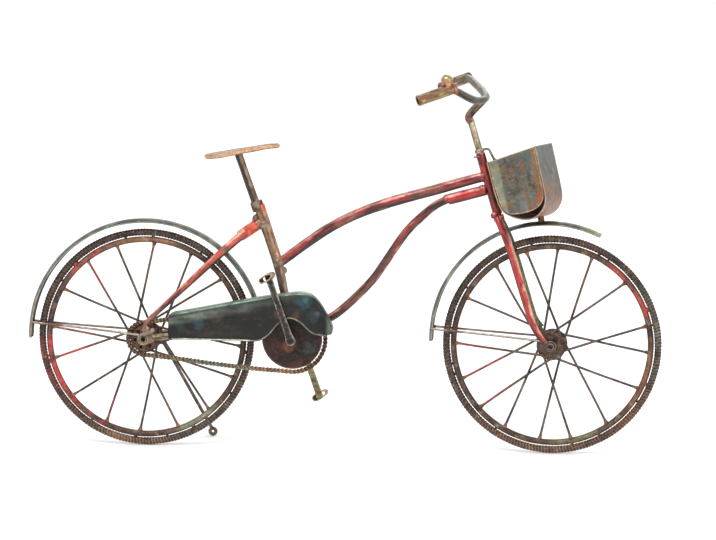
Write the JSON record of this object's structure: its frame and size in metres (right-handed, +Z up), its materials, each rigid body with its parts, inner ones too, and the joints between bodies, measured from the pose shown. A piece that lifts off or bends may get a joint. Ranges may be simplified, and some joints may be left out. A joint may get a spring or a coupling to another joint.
{
  "type": "decorative metal model bicycle",
  "caption": "Handmade rusty metal model bicycle with turning wheels, cranks and fork, a sheet basket, fenders, a chain guard and a folding kickstand.",
  "frame": {"origin": "on the floor, under the middle of the whole model's box as it leans on its kickstand", "axes": "+X forward along the bicycle, +Y to the bicycle's left, where the kickstand is, +Z up"},
  "size_m": [0.431, 0.1274, 0.2614],
  "materials": {
    "red_paint": "worn red paint over dark rusty metal, rubbed light along the tops",
    "worn_red_tan": "red paint worn down to tan and brown metal",
    "dark_rust": "dark brown oxidised steel with rust bloom",
    "bare_steel": "dull bare steel, browned",
    "rusty_sheet": "tan and orange rust on thin sheet",
    "green_black_sheet": "dark green-black heat-coloured sheet with teal and rust patches",
    "brassy_rod": "dull brassy rod, brown in the recesses",
    "bell_brass": "bright polished brass",
    "copper_braze": "reddish copper-coloured braze",
    "patina_sheet": "grey-green and teal patina with orange rust and scratches",
    "knurled_rod": "knurled dark rod with rust and traces of red and grey-green",
    "rim_rod": "brown rusty rod with traces of red",
    "spoke_wire": "thin browned wire",
    "chain_wire": "greenish tan to orange-rust twisted chain"
  },
  "bodies": {
    "frame": {"head_tube": "red_paint", "top_tube": "red_paint", "down_tube": "red_paint", "down_tube_sleeve": "red_paint", "seat_tube": "worn_red_tan", "seat_clamp": "dark_rust", "seat_post": "dark_rust", "saddle": "rusty_sheet", "bottom_bracket": "red_paint", "seat_stay_sleeve": "red_paint", "right_seat_stay": "red_paint", "left_seat_stay": "dark_rust", "right_chain_stay": "bare_steel", "left_chain_stay": "bare_steel", "rear_axle": "bare_steel", "rear_fender": "green_black_sheet", "rear_fender_stays": "bare_steel", "chain_guard": "green_black_sheet", "chain": "chain_wire", "kickstand_pivot": "bare_steel"},
    "steering": {"steerer": "brassy_rod", "stem": "dark_rust", "handlebar": "dark_rust", "right_grip": "brassy_rod", "left_grip": "brassy_rod", "bell": "bell_brass", "bell_clamp": "copper_braze", "basket": "patina_sheet", "basket_right_side": "patina_sheet", "basket_left_side": "patina_sheet", "basket_strap": "bare_steel", "fork_crown": "red_paint", "right_fork_blade": "red_paint", "left_fork_blade": "dark_rust", "front_axle": "bare_steel", "front_fender": "green_black_sheet", "front_fender_stays": "bare_steel"},
    "front_wheel": {"front_tyre": "knurled_rod", "front_rim": "rim_rod", "front_spokes": "spoke_wire", "front_hub": "spoke_wire"},
    "rear_wheel": {"rear_tyre": "knurled_rod", "rear_rim": "rim_rod", "rear_spokes": "spoke_wire", "rear_hub": "spoke_wire", "sprocket": "bare_steel"},
    "crankset": {"chainring": "dark_rust", "crank_axle": "dark_rust", "right_crank": "dark_rust", "left_crank": "brassy_rod", "right_pedal": "rusty_sheet", "left_pedal": "rusty_sheet"},
    "kickstand": {"kickstand": "bare_steel"}
  },
  "joints": [
    {"name": "steering", "type": "hinge", "parent": "frame", "child": "steering", "pos_m": [0.0978, -0.00277, 0.18163], "axis": [-0.284, 0.0418, 0.9579], "range_deg": [-60, 60]},
    {"name": "front_wheel_spin", "type": "hinge", "parent": "steering", "child": "front_wheel", "pos_m": [0.1412, -0.00747, 0.07393], "axis": [0, 0.999, -0.0436], "continuous": true},
    {"name": "rear_wheel_spin", "type": "hinge", "parent": "frame", "child": "rear_wheel", "pos_m": [-0.1348, -0.00747, 0.07393], "axis": [0, 0.999, -0.0436], "continuous": true},
    {"name": "crank_spin", "type": "hinge", "parent": "frame", "child": "crankset", "pos_m": [-0.0338, -0.00739, 0.07573], "axis": [0, 0.999, -0.0436], "continuous": true},
    {"name": "kickstand_fold", "type": "hinge", "parent": "frame", "child": "kickstand", "pos_m": [-0.1263, 0.00832, 0.06884], "axis": [0, 0.999, -0.0436], "range_deg": [0, 108]}
  ]
}
